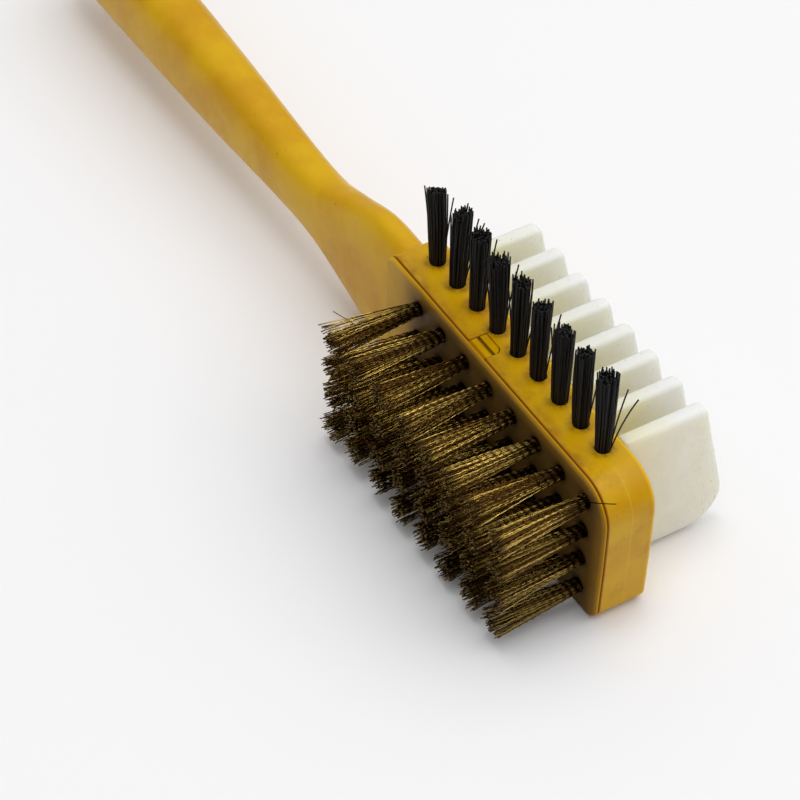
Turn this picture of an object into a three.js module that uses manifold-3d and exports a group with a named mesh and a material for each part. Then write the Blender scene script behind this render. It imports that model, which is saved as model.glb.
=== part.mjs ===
// Three-sided club groove brush: a moulded handle and head with a row of nylon tufts along
// the top edge, a snap-in plate of brass wire tufts on the front face and a rubber comb
// standing out of the back face.
//
// Units are millimetres and +Z is up. The brush stands on the head's flat bottom edge.
// The origin is the centre of that edge, the handle runs towards -X, the brass wire
// points towards -Y and the rubber comb towards +Y.
import * as THREE from "three";
import { mergeVertices } from "three/addons/utils/BufferGeometryUtils.js";
import Module from "manifold-3d";

const wasm = await Module();
wasm.setup();

// ---------------------------------------------------------------- driving dimensions

// Head
const HEAD_LENGTH = 64;
const HEAD_HEIGHT = 27.5;
const HEAD_THICKNESS = 9.74;
const TIP_CORNER_RADIUS = 6.5;
const TIP_LEAN = 0.5; // how far the tip end leans in at the bottom edge
const FOOT_RADIUS = 2.5; // the bottom corner of the tip
const HANDLE_END_RADIUS = 2;
const EDGE_ROUNDING = 0.7;
const HEAD_LEFT = -HEAD_LENGTH / 2;
const HEAD_RIGHT = HEAD_LENGTH / 2;
const FRONT_Y = -HEAD_THICKNESS / 2;
const BACK_Y = HEAD_THICKNESS / 2;

// Clearance between moulded pieces that are pressed or snapped together
const FIT_GAP = 0.15;

// Bristle plate: a thin rim over the whole front face and a plug that fills the pocket
const RIM_THICKNESS = 0.82;
const RIM_ROUNDING = 0.35;
const RIM_BACK_Y = FRONT_Y + RIM_THICKNESS;
const PLUG_BACK_Y = -0.8;

// Pocket in the head that takes the plug, and behind it the lower recess for the comb's
// flange, which passes under the nylon tufts
const POCKET = { left: -29.4, right: 30, bottom: 1.9, top: 26, radius: 4 };
const RECESS = { left: -29.4, right: 28, bottom: 1.9, top: 22.4, radius: 4 };
const RECESS_BACK_Y = 2.9;

// Snap lug that reaches back from the rim into a slot in the top edge, and the groove across
// its top. Its front is inside the rim.
const LUG = { left: -8.3, right: -3.7, front: FRONT_Y + 0.5, back: -0.75, radius: 1.2 };
const LUG_TOP_Z = HEAD_HEIGHT - 0.1;
const LUG_GROOVE = { front: -2.5, back: -1.95, depth: 0.6 };

// Handle
const HANDLE_LENGTH = 117;
const HANDLE_RISE = 0.4; // how far the centre line climbs from the head to the far end
const HANDLE_END_LENGTH = 11; // the rounded far end
const HANDLE_OVERLAP = 1.5; // how far the handle runs into the head's end wall
const HANDLE_CENTRE_Y = (RIM_BACK_Y + BACK_Y) / 2;
const HANDLE_CENTRE_Z = 13.35;
const HANDLE_SQUARENESS = 2.5; // exponent of the rounded section, 2 being an ellipse
const HANDLE_SIDES = 20;
const HANDLE_STEPS = 26;
const HANDLE_END_STEPS = 5;
const HANDLE_STATIONS = [
  { fromHead: 0, halfHeight: 13.2, halfThickness: 4.1 },
  { fromHead: 9, halfHeight: 12.9, halfThickness: 4.15 },
  { fromHead: 18, halfHeight: 9.7, halfThickness: 4.2 },
  { fromHead: 27, halfHeight: 6.6, halfThickness: 4.3 },
  { fromHead: 37, halfHeight: 6.2, halfThickness: 4.5 },
  { fromHead: 60, halfHeight: 7.7, halfThickness: 5.2 },
  { fromHead: 84, halfHeight: 8.2, halfThickness: 6 },
  { fromHead: 106, halfHeight: 8.4, halfThickness: 6.4 },
];

// Nylon tufts: one row along the top edge
const NYLON_COUNT = 9;
const NYLON_FIRST_X = -26.28;
const NYLON_PITCH = 6;
const NYLON_Y = 1.36; // the row sits a little behind the middle of the top edge
const NYLON_HEIGHT = 15.5;
const NYLON_RADIUS = 1.25;
const NYLON_TIP_RADIUS = 1.6;
const NYLON_HOLE_DEPTH = 4.2;
const NYLON_SIDES = 12;

// Brass tufts: a grid over the front face
const BRASS_COLUMNS = 8;
const BRASS_ROWS = 4;
const BRASS_FIRST_X = -21.76;
const BRASS_PITCH_X = 6.94;
const BRASS_TOP_Z = 23.67;
const BRASS_PITCH_Z = 6.35;
const BRASS_LENGTH = 16.5;
const BRASS_RADIUS = 1.25;
const BRASS_TIP_RADIUS = 2.3;
const BRASS_HOLE_DEPTH = 3.6;
const BRASS_SIDES = 8;

// Each tuft is folded over a short length of flat wire, which is wedged across its hole
const HOLE_GAP = 0.1;
const ANCHOR = { length: 3.2, height: 1.2, thickness: 0.4, aboveFold: 0.6 };

// Rubber comb: fins that stand across the back face, joined by a flange in the recess
const FIN_COUNT = 8;
const FIN_FIRST_X = -25.54;
const FIN_PITCH = 6.75;
const FIN_THICKNESS = 2.6;
const FIN_BOTTOM_Z = 1;
const FIN_TOP_Z = 27.4;
const FIN_REACH_LOW = 20; // how far the fins stand out of the back face, low down
const FIN_REACH_HIGH = 15.7; // and at the top
const FIN_LOW_RADIUS = 4.9;
const FIN_HIGH_RADIUS = 1.5;
const NECK = { bottom: 3.4, top: 21.4 }; // the waist of each fin where it crosses the wall

// ---------------------------------------------------------------- materials

const yellowPlastic = new THREE.MeshStandardMaterial({ color: 0xd9a521, roughness: 0.38, metalness: 0 });
const blackNylon = new THREE.MeshStandardMaterial({ color: 0x141316, roughness: 0.5, metalness: 0 });
const brassWire = new THREE.MeshStandardMaterial({ color: 0x9a7433, roughness: 0.4, metalness: 0.9 });
const creamRubber = new THREE.MeshStandardMaterial({ color: 0xe9e3c8, roughness: 0.6, metalness: 0 });
const steelWire = new THREE.MeshStandardMaterial({ color: 0xa3a5a8, roughness: 0.35, metalness: 1 });

// ---------------------------------------------------------------- geometry helpers

const ALONG_X = new THREE.Vector3(1, 0, 0);
const ALONG_Y = new THREE.Vector3(0, 1, 0);
const ALONG_Z = new THREE.Vector3(0, 0, 1);

// A geometry as a closed solid that can be joined and cut.
function solidOf(geometry) {
  const bare = geometry.clone();
  bare.deleteAttribute("normal");
  bare.deleteAttribute("uv");
  const merged = mergeVertices(bare, 1e-4);
  const triVerts = new Uint32Array(merged.index.array);
  const vertProperties = merged.attributes.position.array;
  return new wasm.Manifold(new wasm.Mesh({ numProp: 3, vertProperties, triVerts }));
}

// A closed solid back as a faceted geometry.
function geometryOf(solid) {
  const mesh = solid.getMesh();
  const geometry = new THREE.BufferGeometry();
  geometry.setAttribute("position", new THREE.BufferAttribute(mesh.vertProperties, 3));
  geometry.setIndex(new THREE.BufferAttribute(mesh.triVerts, 1));
  const faceted = geometry.toNonIndexed();
  faceted.computeVertexNormals();
  return faceted;
}

// A box between two corners.
function box(low, high) {
  const size = high.map((value, axis) => value - low[axis]);
  const middle = high.map((value, axis) => (value + low[axis]) / 2);
  return new THREE.BoxGeometry(...size).translate(...middle);
}

// An outline drawn in X and Z, extruded from one Y to another.
function extrudeAlongY(shape, fromY, toY, rounding = 0) {
  const geometry = new THREE.ExtrudeGeometry(shape, {
    depth: toY - fromY - 2 * rounding,
    curveSegments: 6,
    bevelEnabled: rounding > 0,
    bevelThickness: rounding,
    bevelSize: rounding,
    bevelOffset: -rounding,
    bevelSegments: 2,
  });
  const standing = new THREE.Matrix4().makeBasis(ALONG_X, ALONG_Z, ALONG_Y.clone().negate());
  return geometry.applyMatrix4(standing).translate(0, toY - rounding, 0);
}

// A round tuft or hole along +Z, from a profile of [radius, height] points.
function turned(points, sides) {
  const profile = points.map(([radius, height]) => new THREE.Vector2(radius, height));
  return new THREE.LatheGeometry(profile, sides).rotateX(Math.PI / 2);
}

// A rectangle with rounded corners in X and Z, shrunk by a margin.
function roundedRectangle({ left, right, bottom, top, radius }, margin) {
  const [x0, x1, z0, z1] = [left + margin, right - margin, bottom + margin, top - margin];
  const shape = new THREE.Shape();
  shape.absarc(x1 - radius, z0 + radius, radius, -Math.PI / 2, 0);
  shape.absarc(x1 - radius, z1 - radius, radius, 0, Math.PI / 2);
  shape.absarc(x0 + radius, z1 - radius, radius, Math.PI / 2, Math.PI);
  shape.absarc(x0 + radius, z0 + radius, radius, Math.PI, 1.5 * Math.PI);
  shape.closePath();
  return shape;
}

// ---------------------------------------------------------------- outlines and places

// The head seen from the front: small corners at the handle and the foot, a large one at the
// top of the tip, and a tip end that leans in a little towards the bottom edge.
function headOutline() {
  const shape = new THREE.Shape();
  const footX = HEAD_RIGHT - TIP_LEAN;
  const endRadius = HANDLE_END_RADIUS;
  shape.moveTo(HEAD_LEFT + endRadius, 0);
  shape.absarc(footX - FOOT_RADIUS, FOOT_RADIUS, FOOT_RADIUS, -Math.PI / 2, 0);
  shape.quadraticCurveTo(HEAD_RIGHT, HEAD_HEIGHT / 2, HEAD_RIGHT, HEAD_HEIGHT - TIP_CORNER_RADIUS);
  shape.absarc(
    HEAD_RIGHT - TIP_CORNER_RADIUS,
    HEAD_HEIGHT - TIP_CORNER_RADIUS,
    TIP_CORNER_RADIUS,
    0,
    Math.PI / 2,
  );
  shape.absarc(HEAD_LEFT + endRadius, HEAD_HEIGHT - endRadius, endRadius, Math.PI / 2, Math.PI);
  shape.absarc(HEAD_LEFT + endRadius, endRadius, endRadius, Math.PI, 1.5 * Math.PI);
  return shape;
}

// The snap lug seen from above: square at the handle side and rounded at the back corner
// on the tip side. The margin widens it into the slot that it clicks into.
function lugSolid(margin, bottomZ, topZ) {
  const { left, right, front, back, radius } = LUG;
  const shape = new THREE.Shape();
  shape.moveTo(left - margin, front - margin);
  shape.lineTo(right + margin, front - margin);
  shape.absarc(right - radius, back - radius, radius + margin, 0, Math.PI / 2);
  shape.lineTo(left - margin, back + margin);
  shape.closePath();
  const geometry = new THREE.ExtrudeGeometry(shape, {
    depth: topZ - bottomZ,
    curveSegments: 6,
    bevelEnabled: false,
  });
  return solidOf(geometry.translate(0, 0, bottomZ));
}

const nylonPlaces = [];
for (let i = 0; i < NYLON_COUNT; i += 1) {
  nylonPlaces.push({ number: i + 1, x: NYLON_FIRST_X + i * NYLON_PITCH });
}

const brassPlaces = [];
for (let row = 0; row < BRASS_ROWS; row += 1) {
  for (let column = 0; column < BRASS_COLUMNS; column += 1) {
    brassPlaces.push({
      row: row + 1,
      column: column + 1,
      x: BRASS_FIRST_X + column * BRASS_PITCH_X,
      z: BRASS_TOP_Z - row * BRASS_PITCH_Z,
    });
  }
}

const finPlaces = [];
for (let i = 0; i < FIN_COUNT; i += 1) {
  finPlaces.push(FIN_FIRST_X + i * FIN_PITCH);
}

// ---------------------------------------------------------------- tufts and their anchors

// The straight part of a tuft or of its hole, from the fold up to the face that it leaves.
function socket(radius, depth, above, sides) {
  return turned([[0, -depth], [radius, -depth], [radius, above], [0, above]], sides);
}

// The flat wire across the fold, or with a margin the notch that it is wedged into.
function anchorBox(holeDepth, margin) {
  const halfLength = ANCHOR.length / 2 + margin;
  const halfThickness = ANCHOR.thickness / 2 + margin;
  const bottom = HOLE_GAP - holeDepth + ANCHOR.aboveFold;
  return box(
    [-halfLength, -halfThickness, bottom - margin],
    [halfLength, halfThickness, bottom + ANCHOR.height + margin],
  );
}

// A bundle of filaments along +Z whose hole starts at height 0. It fills the hole, spreads
// towards its tips and is trimmed slightly domed.
function tuft(radius, tipRadius, length, holeDepth, sides) {
  const points = [
    [0, HOLE_GAP - holeDepth],
    [radius, HOLE_GAP - holeDepth],
    [radius, 0.1 * length],
    [radius + 0.55 * (tipRadius - radius), 0.6 * length],
    [tipRadius, 0.97 * length],
    [0, length],
  ];
  return solidOf(turned(points, sides));
}

// A tuft's hole with the notch for its anchor.
function tuftHole(radius, holeDepth, sides) {
  const hole = solidOf(socket(radius + HOLE_GAP, holeDepth, 1, sides));
  return hole.add(solidOf(anchorBox(holeDepth, HOLE_GAP)));
}

const POINTING_FORWARD = [90, 0, 0]; // turns +Z to -Y

// ---------------------------------------------------------------- handle body

// Half height and half thickness along the handle, smooth between the stations.
const stationPlaces = HANDLE_STATIONS.map((station) => station.fromHead);
const halfHeightAt = new THREE.CubicInterpolant(
  stationPlaces,
  HANDLE_STATIONS.map((station) => station.halfHeight),
  1,
);
const halfThicknessAt = new THREE.CubicInterpolant(
  stationPlaces,
  HANDLE_STATIONS.map((station) => station.halfThickness),
  1,
);

// The share of the full section that is left in the rounded far end.
function endTaper(fromHead) {
  const intoEnd = Math.max(0, fromHead - (HANDLE_LENGTH - HANDLE_END_LENGTH)) / HANDLE_END_LENGTH;
  return Math.sqrt(Math.max(0, 1 - intoEnd ** 2));
}

// The handle as a turned blank whose round section is then drawn out to its own height,
// thickness and squareness at each place along it.
function handleSolid() {
  const endStart = HANDLE_LENGTH - HANDLE_END_LENGTH;
  const profile = [new THREE.Vector2(0, -HANDLE_OVERLAP)];
  for (let i = 0; i <= HANDLE_STEPS; i += 1) {
    const fromHead = THREE.MathUtils.lerp(-HANDLE_OVERLAP, endStart, i / HANDLE_STEPS);
    profile.push(new THREE.Vector2(1, fromHead));
  }
  for (let i = 1; i < HANDLE_END_STEPS; i += 1) {
    const turn = (i / HANDLE_END_STEPS) * (Math.PI / 2);
    profile.push(new THREE.Vector2(1, endStart + HANDLE_END_LENGTH * Math.sin(turn)));
  }
  profile.push(new THREE.Vector2(0, HANDLE_LENGTH));
  const blank = new THREE.LatheGeometry(profile, HANDLE_SIDES);
  const position = blank.attributes.position;
  const squared = (value) => Math.sign(value) * Math.abs(value) ** (2 / HANDLE_SQUARENESS);
  for (let i = 0; i < position.count; i += 1) {
    const across = position.getX(i);
    const fromHead = position.getY(i);
    const up = position.getZ(i);
    const taper = endTaper(fromHead);
    const halfHeight = halfHeightAt.evaluate(fromHead)[0] * taper;
    const halfThickness = halfThicknessAt.evaluate(fromHead)[0] * taper;
    const rise = HANDLE_RISE * THREE.MathUtils.smoothstep(fromHead, 0, HANDLE_LENGTH);
    position.setXYZ(
      i,
      HEAD_LEFT - fromHead,
      HANDLE_CENTRE_Y + halfThickness * squared(across),
      HANDLE_CENTRE_Z + rise + halfHeight * squared(up),
    );
  }
  return solidOf(blank);
}

function handleBody() {
  const bodyFrontY = RIM_BACK_Y + FIT_GAP;
  const head = solidOf(extrudeAlongY(headOutline(), FRONT_Y - EDGE_ROUNDING, BACK_Y, EDGE_ROUNDING));
  const plateSpace = box([HEAD_LEFT - 1, FRONT_Y - 5, -1], [HEAD_RIGHT + 1, bodyFrontY, HEAD_HEIGHT + 1]);
  let body = head.subtract(solidOf(plateSpace)).add(handleSolid());

  for (const [opening, floorY] of [[POCKET, PLUG_BACK_Y + FIT_GAP], [RECESS, RECESS_BACK_Y]]) {
    body = body.subtract(solidOf(extrudeAlongY(roundedRectangle(opening, 0), FRONT_Y - 1, floorY)));
  }
  body = body.subtract(lugSolid(FIT_GAP, POCKET.top - 1, HEAD_HEIGHT + 1));

  const hole = tuftHole(NYLON_RADIUS, NYLON_HOLE_DEPTH, NYLON_SIDES);
  for (const { x } of nylonPlaces) {
    body = body.subtract(hole.translate([x, NYLON_Y, HEAD_HEIGHT]));
  }
  const halfSlot = FIN_THICKNESS / 2 + FIT_GAP;
  for (const x of finPlaces) {
    const slot = box(
      [x - halfSlot, RECESS_BACK_Y - 1, NECK.bottom - FIT_GAP],
      [x + halfSlot, BACK_Y + 1, NECK.top + FIT_GAP],
    );
    body = body.subtract(solidOf(slot));
  }
  return body;
}

// ---------------------------------------------------------------- bristle plate

function bristlePlate() {
  const rim = solidOf(extrudeAlongY(headOutline(), FRONT_Y, RIM_BACK_Y, RIM_ROUNDING));
  const plug = solidOf(extrudeAlongY(roundedRectangle(POCKET, FIT_GAP), FRONT_Y + 0.4, PLUG_BACK_Y));
  let plate = rim.add(plug).add(lugSolid(0, POCKET.top - 1, LUG_TOP_Z));
  const groove = box(
    [LUG.left - 1, LUG_GROOVE.front, LUG_TOP_Z - LUG_GROOVE.depth],
    [LUG.right + 1, LUG_GROOVE.back, LUG_TOP_Z + 1],
  );
  plate = plate.subtract(solidOf(groove));
  const hole = tuftHole(BRASS_RADIUS, BRASS_HOLE_DEPTH, BRASS_SIDES).rotate(POINTING_FORWARD);
  for (const { x, z } of brassPlaces) {
    plate = plate.subtract(hole.translate([x, FRONT_Y, z]));
  }
  return plate;
}

// ---------------------------------------------------------------- rubber comb

// One fin seen from the tip: a waist through the wall, then the broad free part with its
// rounded corners and an outer edge that slopes back towards the top.
function finOutline() {
  const lowY = BACK_Y + FIN_REACH_LOW;
  const highY = BACK_Y + FIN_REACH_HIGH;
  const shoulderY = BACK_Y + FIT_GAP;
  const rootY = RECESS_BACK_Y - 1;
  const shape = new THREE.Shape();
  shape.moveTo(rootY, NECK.bottom);
  shape.lineTo(shoulderY, NECK.bottom);
  shape.lineTo(shoulderY, FIN_BOTTOM_Z);
  shape.lineTo(lowY - FIN_LOW_RADIUS, FIN_BOTTOM_Z);
  shape.quadraticCurveTo(lowY, FIN_BOTTOM_Z, lowY, FIN_BOTTOM_Z + 1.4 * FIN_LOW_RADIUS);
  shape.lineTo(highY, FIN_TOP_Z - FIN_HIGH_RADIUS);
  shape.quadraticCurveTo(highY, FIN_TOP_Z, highY - FIN_HIGH_RADIUS, FIN_TOP_Z);
  shape.lineTo(shoulderY, FIN_TOP_Z);
  shape.lineTo(shoulderY, NECK.top);
  shape.lineTo(rootY, NECK.top);
  shape.closePath();
  return shape;
}

function rubberComb() {
  const flangeOutline = roundedRectangle(RECESS, FIT_GAP);
  let comb = solidOf(extrudeAlongY(flangeOutline, PLUG_BACK_Y + FIT_GAP, RECESS_BACK_Y - FIT_GAP));
  const fin = new THREE.ExtrudeGeometry(finOutline(), {
    depth: FIN_THICKNESS,
    curveSegments: 6,
    bevelEnabled: false,
  });
  fin.applyMatrix4(new THREE.Matrix4().makeBasis(ALONG_Y, ALONG_Z, ALONG_X));
  const finSolid = solidOf(fin);
  for (const x of finPlaces) {
    comb = comb.add(finSolid.translate([x - FIN_THICKNESS / 2, 0, 0]));
  }
  return comb;
}

// ---------------------------------------------------------------- assembly

const brush = new THREE.Group();

function place(name, geometry, material, position = [0, 0, 0]) {
  const mesh = new THREE.Mesh(geometry, material);
  mesh.name = name;
  mesh.position.set(...position);
  brush.add(mesh);
}

place("handle_body", geometryOf(handleBody()), yellowPlastic);
place("bristle_plate", geometryOf(bristlePlate()), yellowPlastic);
place("rubber_comb", geometryOf(rubberComb()), creamRubber);

// Each nylon tuft is threaded by its anchor; each brass tuft is one piece with its anchor.
const nylonBundle = tuft(NYLON_RADIUS, NYLON_TIP_RADIUS, NYLON_HEIGHT, NYLON_HOLE_DEPTH, NYLON_SIDES);
const nylonTuft = geometryOf(nylonBundle.subtract(solidOf(anchorBox(NYLON_HOLE_DEPTH, HOLE_GAP))));
const nylonAnchor = anchorBox(NYLON_HOLE_DEPTH, 0);
for (const { number, x } of nylonPlaces) {
  place(`nylon_tuft_${number}`, nylonTuft, blackNylon, [x, NYLON_Y, HEAD_HEIGHT]);
  place(`nylon_anchor_${number}`, nylonAnchor, steelWire, [x, NYLON_Y, HEAD_HEIGHT]);
}

const brassBundle = tuft(BRASS_RADIUS, BRASS_TIP_RADIUS, BRASS_LENGTH, BRASS_HOLE_DEPTH, BRASS_SIDES);
const anchoredBundle = brassBundle.add(solidOf(anchorBox(BRASS_HOLE_DEPTH, 0)));
const brassTuft = geometryOf(anchoredBundle.rotate(POINTING_FORWARD));
for (const { row, column, x, z } of brassPlaces) {
  place(`brass_tuft_row${row}_${column}`, brassTuft, brassWire, [x, FRONT_Y, z]);
}

export default brush;
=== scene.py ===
"""Looks of the club groove brush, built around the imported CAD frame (metres, +Z towards the nylon side)."""

import math

import bpy
import numpy as np
from mathutils import Matrix, Vector


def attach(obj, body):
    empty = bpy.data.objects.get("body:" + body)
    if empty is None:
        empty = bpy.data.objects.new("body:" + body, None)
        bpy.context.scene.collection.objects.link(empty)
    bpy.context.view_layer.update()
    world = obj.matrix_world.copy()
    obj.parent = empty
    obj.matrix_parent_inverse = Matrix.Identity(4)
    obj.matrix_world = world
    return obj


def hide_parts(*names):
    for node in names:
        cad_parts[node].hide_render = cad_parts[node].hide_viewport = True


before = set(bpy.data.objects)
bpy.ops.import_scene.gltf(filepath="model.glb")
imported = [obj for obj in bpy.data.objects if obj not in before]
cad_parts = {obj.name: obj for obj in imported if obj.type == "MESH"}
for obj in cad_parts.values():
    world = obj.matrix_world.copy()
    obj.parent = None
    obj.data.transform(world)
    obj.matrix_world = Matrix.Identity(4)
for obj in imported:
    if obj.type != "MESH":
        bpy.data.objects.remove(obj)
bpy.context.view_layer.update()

MM = 0.001

# Head, in mm, sized as in the CAD model: the origin is the middle of its bottom edge
HEAD_LEFT, HEAD_RIGHT = -32.0, 32.0
HEAD_HEIGHT = 27.5
FRONT_Y, RIM_BACK_Y, BODY_FRONT_Y, BACK_Y = -4.87, -4.05, -3.9, 4.87
TIP_LEAN = 0.5
FOOT_RADIUS = 2.5
TIP_CORNER_RADIUS = 6.5
HANDLE_CORNER_RADIUS = 2
MOULD_LINE_Y = 0.5

# Roundings of the head's edges
BACK_ROUNDING = 0.6
FRONT_ROUNDING = 0.28
RIM_ROUNDING = 0.6

FIT_GAP = 0.15

# Pocket under the plate, the recess for the comb's flange behind it, and the snap lug
POCKET = {"left": -29.4, "right": 30, "bottom": 1.9, "top": 26, "radius": 4}
RECESS = {"left": -29.4, "right": 28, "bottom": 1.9, "top": 22.4, "radius": 4}
RECESS_BACK_Y = 2.9
PLUG_BACK_Y = -0.8
LUG = {"left": -8.3, "right": -3.7, "front": -4.37, "back": -0.75, "radius": 1.2, "top": 27.4}
LUG_GROOVE = {"front": -2.5, "back": -1.95, "depth": 0.6}

# Handle
HANDLE_LENGTH = 117
HANDLE_RISE = 0.4
HANDLE_END_LENGTH = 11
HANDLE_OVERLAP = 1.5
HANDLE_CENTRE_Y = (RIM_BACK_Y + BACK_Y) / 2
HANDLE_CENTRE_Z = 13.35
HANDLE_SQUARENESS = 2.5
HANDLE_FILLET = 0.12
HANDLE_STATIONS = (
    # from the head, half height, half thickness
    (0, 13.2, 4.1),
    (9, 12.9, 4.15),
    (18, 9.7, 4.2),
    (27, 6.6, 4.3),
    (37, 6.2, 4.5),
    (60, 7.7, 5.2),
    (84, 8.2, 6.0),
    (106, 8.4, 6.4),
)

# Tufts
NYLON_FIRST_X, NYLON_PITCH, NYLON_Y = -26.28, 6, 1.36
NYLON_PLACES = [(NYLON_FIRST_X + NYLON_PITCH * i, NYLON_Y, HEAD_HEIGHT) for i in range(9)]
NYLON_HEIGHT = 15.5
NYLON_COUNT = 100
NYLON_BUNDLE_RADIUS = 1.17
NYLON_STRAND_RADIUS = 0.125
BRASS_COLUMNS, BRASS_ROWS = 8, 4
BRASS_FIRST_X, BRASS_PITCH_X = -21.76, 6.94
BRASS_TOP_Z, BRASS_PITCH_Z = 23.67, 6.35
BRASS_LENGTH = 16.5
NYLON_HOLE_RADIUS = 1.35
BRASS_HOLE_RADIUS = 1.35
NYLON_HOLE_DEPTH = 4.2
BRASS_HOLE_DEPTH = 3.6

# Rubber comb: the reach is where a fin's edges would meet before its corners are rounded
FIN_PLACES = [-25.54 + 6.75 * i for i in range(8)]
FIN_THICKNESS = 2.6
FIN_BOTTOM, FIN_TOP = 1, 27.4
FIN_REACH_LOW, FIN_REACH_HIGH = 21.5, 15.4
FIN_RADIUS_LOW, FIN_RADIUS_HIGH = 6.2, 1.5
FIN_ROUNDING = 0.7
NECK_BOTTOM, NECK_TOP = 3.4, 21.4
SLOT_CORNER_RADIUS = 0.4
FLANGE_FRONT_Y, FLANGE_BACK_Y = -0.65, 2.75

chance = np.random.default_rng(63)


# ---------------------------------------------------------------- outlines and solids

def arc(centre, radius, start, end, steps=10):
    """Points of an arc, angles in degrees."""
    angles = np.radians(np.linspace(start, end, steps + 1))
    return [(centre[0] + radius * math.cos(a), centre[1] + radius * math.sin(a)) for a in angles]


def head_outline():
    """Front view of the head, anticlockwise from the bottom left."""
    foot_x = HEAD_RIGHT - TIP_LEAN
    points = arc((HEAD_LEFT + HANDLE_CORNER_RADIUS, HANDLE_CORNER_RADIUS), HANDLE_CORNER_RADIUS, 180, 270)
    points += arc((foot_x - FOOT_RADIUS, FOOT_RADIUS), FOOT_RADIUS, 270, 360, 14)
    low = Vector((foot_x, FOOT_RADIUS))
    bow = Vector((HEAD_RIGHT, HEAD_HEIGHT / 2))
    high = Vector((HEAD_RIGHT, HEAD_HEIGHT - TIP_CORNER_RADIUS))
    for t in np.linspace(0, 1, 12)[1:-1]:
        points.append(tuple(low * (1 - t) ** 2 + bow * 2 * t * (1 - t) + high * t * t))
    corner = (HEAD_RIGHT - TIP_CORNER_RADIUS, HEAD_HEIGHT - TIP_CORNER_RADIUS)
    points += arc(corner, TIP_CORNER_RADIUS, 0, 90, 18)
    corner = (HEAD_LEFT + HANDLE_CORNER_RADIUS, HEAD_HEIGHT - HANDLE_CORNER_RADIUS)
    points += arc(corner, HANDLE_CORNER_RADIUS, 90, 180)
    return np.array(points)


def rounded_rectangle(left, right, bottom, top, radius, steps=8):
    points = []
    corners = (
        (left, bottom, 180, 1, 1),
        (right, bottom, 270, -1, 1),
        (right, top, 0, -1, -1),
        (left, top, 90, 1, -1),
    )
    for x, z, start, inward_x, inward_z in corners:
        points += arc((x + inward_x * radius, z + inward_z * radius), radius, start, start + 90, steps)
    return np.array(points)


def moved_in(points, distance):
    """An anticlockwise outline with each side moved inwards by the same distance."""
    to_next = np.roll(points, -1, 0) - points
    to_next /= np.linalg.norm(to_next, axis=1)[:, None]
    inward_next = np.stack([-to_next[:, 1], to_next[:, 0]], 1)
    inward_last = np.roll(inward_next, 1, 0)
    middle = inward_next + inward_last
    middle /= (1 + (inward_next * inward_last).sum(1))[:, None]
    return points + middle * distance


def rounded_profile(start, end, start_rounding, end_rounding, steps=5):
    """(depth, inset) of the rings of an extrusion with rounded edges at its two ends."""
    turn = np.linspace(0, math.pi / 2, steps + 1)
    rings = []
    for a in turn[::-1]:
        rings.append((start + start_rounding * (1 - math.sin(a)), start_rounding * (1 - math.cos(a))))
    for a in turn:
        rings.append((end - end_rounding * (1 - math.sin(a)), end_rounding * (1 - math.cos(a))))
    return rings


def extruded(points, start, end, start_rounding, end_rounding, axis="Y"):
    """A closed mesh of an outline drawn in the other two axes, run from start to end along Y or X."""
    rings = []
    for depth, inset in rounded_profile(start, end, start_rounding, end_rounding):
        ring = moved_in(points, inset)
        along = np.full(len(ring), depth)
        columns = [ring[:, 0], along, ring[:, 1]] if axis == "Y" else [along, ring[:, 0], ring[:, 1]]
        rings.append(np.stack(columns, 1))
    return lofted(rings, outward_first=axis == "X")


def lofted(rings, outward_first):
    """Vertices and faces of a closed skin over rings of equal length."""
    count = len(rings[0])
    vertices = np.concatenate(rings)
    faces = []
    for layer in range(len(rings) - 1):
        for i in range(count):
            j = (i + 1) % count
            lower, upper = layer * count, (layer + 1) * count
            quad = (lower + i, lower + j, upper + j, upper + i)
            faces.append(quad if outward_first else quad[::-1])
    first = tuple(range(count))
    last = tuple(range((len(rings) - 1) * count, len(rings) * count))
    faces.append(first[::-1] if outward_first else first)
    faces.append(last if outward_first else last[::-1])
    return vertices, faces


def together(*solids):
    """Several solids as one list of vertices and faces."""
    vertices, faces, offset = [], [], 0
    for points, polygons in solids:
        vertices.append(points)
        faces += [tuple(i + offset for i in polygon) for polygon in polygons]
        offset += len(points)
    return np.concatenate(vertices), faces


def new_object(name, solid):
    vertices, faces = solid
    mesh = bpy.data.meshes.new(name)
    mesh.from_pydata((np.asarray(vertices) * MM).tolist(), [], faces)
    mesh.validate()
    piece = bpy.data.objects.new(name, mesh)
    bpy.context.scene.collection.objects.link(piece)
    return piece


def boolean(piece, solid, operation):
    """Joins a solid to a piece or cuts it away, and keeps only the result."""
    tool = new_object("tool", solid)
    modifier = piece.modifiers.new("boolean", "BOOLEAN")
    modifier.operation = operation
    modifier.solver = "EXACT"
    modifier.object = tool
    bpy.context.view_layer.update()
    result = bpy.data.meshes.new_from_object(piece.evaluated_get(bpy.context.evaluated_depsgraph_get()))
    piece.modifiers.clear()
    piece.data = result
    bpy.data.objects.remove(tool)


def smooth(piece, angle=32):
    """Smooth shading that keeps edges sharper than the angle, in degrees."""
    piece.data.shade_smooth()
    piece.data.set_sharp_from_angle(angle=math.radians(angle))
    weighted = piece.modifiers.new("weighted_normals", "WEIGHTED_NORMAL")
    weighted.keep_sharp = True


def pin(centre, radius, start, end, axis, sides=32):
    """A round pin along Y or Z, for cutting holes."""
    turn = np.linspace(0, 2 * math.pi, sides, endpoint=False)
    across, along = radius * np.cos(turn), radius * np.sin(turn)
    rings = []
    for depth in (start, end):
        if axis == "Y":
            columns = [centre[0] + across, np.full(sides, depth), centre[2] + along]
        else:
            columns = [centre[0] + across, centre[1] + along, np.full(sides, depth)]
        rings.append(np.stack(columns, 1))
    return lofted(rings, outward_first=axis == "Z")


# ---------------------------------------------------------------- handle with the head's body

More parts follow.
